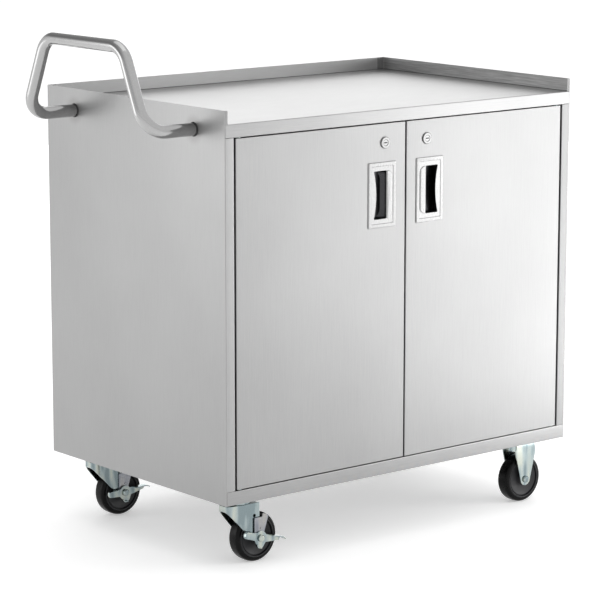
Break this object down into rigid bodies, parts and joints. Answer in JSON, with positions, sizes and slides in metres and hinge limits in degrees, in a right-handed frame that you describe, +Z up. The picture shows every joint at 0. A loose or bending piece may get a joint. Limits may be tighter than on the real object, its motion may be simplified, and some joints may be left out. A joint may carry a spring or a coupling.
{
  "type": "enclosed utility cart",
  "caption": "Enclosed stainless utility cart with a rimmed worktop, two lockable flush doors, an inner shelf, a tube push handle, braked swivel casters and rigid casters.",
  "frame": {"origin": "centre of the footprint box, on the floor", "axes": "+X towards the cart's right end, away from the handle; +Y from the doors to the back; +Z up"},
  "size_m": [1.0411, 0.5966, 1.0394],
  "materials": {
    "brushed_stainless": "brushed, satin",
    "bright_stainless": "stamped, lightly polished",
    "chrome": "bright chrome plate",
    "zinc_plate": "bluish bright zinc plate",
    "black_rubber": "smooth black tread",
    "dark_grey_nylon": "moulded, satin"
  },
  "bodies": {
    "cabinet": {"left_side_panel": "brushed_stainless", "right_side_panel": "brushed_stainless", "back_panel": "brushed_stainless", "worktop": "brushed_stainless", "floor_pan": "brushed_stainless", "middle_shelf": "brushed_stainless", "worktop_stiffener": "brushed_stainless", "left_caster_channel": "brushed_stainless", "right_caster_channel": "brushed_stainless", "push_handle": "brushed_stainless", "front_handle_bolt": "zinc_plate", "rear_handle_bolt": "zinc_plate", "front_left_caster_plate": "zinc_plate", "front_left_kingpin": "zinc_plate", "rear_left_caster_plate": "zinc_plate", "rear_left_kingpin": "zinc_plate", "front_right_fork": "zinc_plate", "front_right_axle_bolt": "zinc_plate", "front_right_axle_nut": "zinc_plate", "rear_right_fork": "zinc_plate", "rear_right_axle_bolt": "zinc_plate", "rear_right_axle_nut": "zinc_plate"},
    "left_door": {"left_door_skin": "brushed_stainless", "left_door_liner": "brushed_stainless", "left_door_pull": "bright_stainless", "left_door_upper_pin": "zinc_plate", "left_door_lower_pin": "zinc_plate", "left_lock_barrel": "chrome"},
    "left_lock": {"left_lock_plug": "chrome", "left_lock_cam": "zinc_plate"},
    "right_door": {"right_door_skin": "brushed_stainless", "right_door_liner": "brushed_stainless", "right_door_pull": "bright_stainless", "right_door_upper_pin": "zinc_plate", "right_door_lower_pin": "zinc_plate", "right_lock_barrel": "chrome"},
    "right_lock": {"right_lock_plug": "chrome", "right_lock_cam": "zinc_plate"},
    "front_left_swivel": {"front_left_fork": "zinc_plate", "front_left_swivel_race": "zinc_plate", "front_left_axle_bolt": "zinc_plate", "front_left_axle_nut": "zinc_plate"},
    "front_left_wheel": {"front_left_wheel_core": "dark_grey_nylon", "front_left_wheel_tyre": "black_rubber"},
    "front_left_brake_pad": {"front_left_brake_plate": "zinc_plate"},
    "front_left_pedal": {"front_left_brake_lever": "zinc_plate"},
    "rear_left_swivel": {"rear_left_fork": "zinc_plate", "rear_left_swivel_race": "zinc_plate", "rear_left_axle_bolt": "zinc_plate", "rear_left_axle_nut": "zinc_plate"},
    "rear_left_wheel": {"rear_left_wheel_core": "dark_grey_nylon", "rear_left_wheel_tyre": "black_rubber"},
    "rear_left_brake_pad": {"rear_left_brake_plate": "zinc_plate"},
    "rear_left_pedal": {"rear_left_brake_lever": "zinc_plate"},
    "front_right_wheel": {"front_right_wheel_core": "dark_grey_nylon", "front_right_wheel_tyre": "black_rubber"},
    "rear_right_wheel": {"rear_right_wheel_core": "dark_grey_nylon", "rear_right_wheel_tyre": "black_rubber"}
  },
  "joints": [
    {"name": "left_door_hinge", "type": "hinge", "parent": "cabinet", "child": "left_door", "pos_m": [-0.35785, -0.2877, 0.513], "axis": [0, 0, -1], "range_deg": [0, 110]},
    {"name": "left_lock_turn", "type": "hinge", "parent": "left_door", "child": "left_lock", "pos_m": [0.00785, -0.2957, 0.818], "axis": [0, 1, 0], "range_deg": [0, 90]},
    {"name": "right_door_hinge", "type": "hinge", "parent": "cabinet", "child": "right_door", "pos_m": [0.48455, -0.2877, 0.513], "axis": [0, 0, 1], "range_deg": [0, 110]},
    {"name": "right_lock_turn", "type": "hinge", "parent": "right_door", "child": "right_lock", "pos_m": [0.11885, -0.2957, 0.818], "axis": [0, -1, 0], "range_deg": [0, 90]},
    {"name": "front_left_swivel_turn", "type": "hinge", "parent": "cabinet", "child": "front_left_swivel", "pos_m": [-0.31985, -0.2337, 0.1228], "axis": [0, 0, 1], "continuous": true},
    {"name": "front_left_wheel_spin", "type": "hinge", "parent": "front_left_swivel", "child": "front_left_wheel", "pos_m": [-0.28185, -0.2337, 0.0508], "axis": [0, 1, 0], "continuous": true},
    {"name": "front_left_brake_turn", "type": "hinge", "parent": "front_left_swivel", "child": "front_left_pedal", "pos_m": [-0.28185, -0.2337, 0.0508], "axis": [0, -1, 0], "range_deg": [0, 16]},
    {"name": "front_left_brake_press", "type": "slide", "parent": "front_left_swivel", "child": "front_left_brake_pad", "axis": [0, 1, 0], "range_m": [0, 0.0012]},
    {"name": "rear_left_swivel_turn", "type": "hinge", "parent": "cabinet", "child": "rear_left_swivel", "pos_m": [-0.31985, 0.2243, 0.1228], "axis": [0, 0, 1], "continuous": true},
    {"name": "rear_left_wheel_spin", "type": "hinge", "parent": "rear_left_swivel", "child": "rear_left_wheel", "pos_m": [-0.28185, 0.2243, 0.0508], "axis": [0, 1, 0], "continuous": true},
    {"name": "rear_left_brake_turn", "type": "hinge", "parent": "rear_left_swivel", "child": "rear_left_pedal", "pos_m": [-0.28185, 0.2243, 0.0508], "axis": [0, -1, 0], "range_deg": [-16, 0]},
    {"name": "rear_left_brake_press", "type": "slide", "parent": "rear_left_swivel", "child": "rear_left_brake_pad", "axis": [0, 1, 0], "range_m": [-0.0012, 0]},
    {"name": "front_right_wheel_spin", "type": "hinge", "parent": "cabinet", "child": "front_right_wheel", "pos_m": [0.44855, -0.2337, 0.0508], "axis": [0, 1, 0], "continuous": true},
    {"name": "rear_right_wheel_spin", "type": "hinge", "parent": "cabinet", "child": "rear_right_wheel", "pos_m": [0.44855, 0.2243, 0.0508], "axis": [0, 1, 0], "continuous": true}
  ],
  "couplings": [
    {"joint": "front_left_brake_press", "follows": "front_left_brake_turn", "m_per_rad": 0.0042972},
    {"joint": "rear_left_brake_press", "follows": "rear_left_brake_turn", "m_per_rad": 0.0042972}
  ]
}
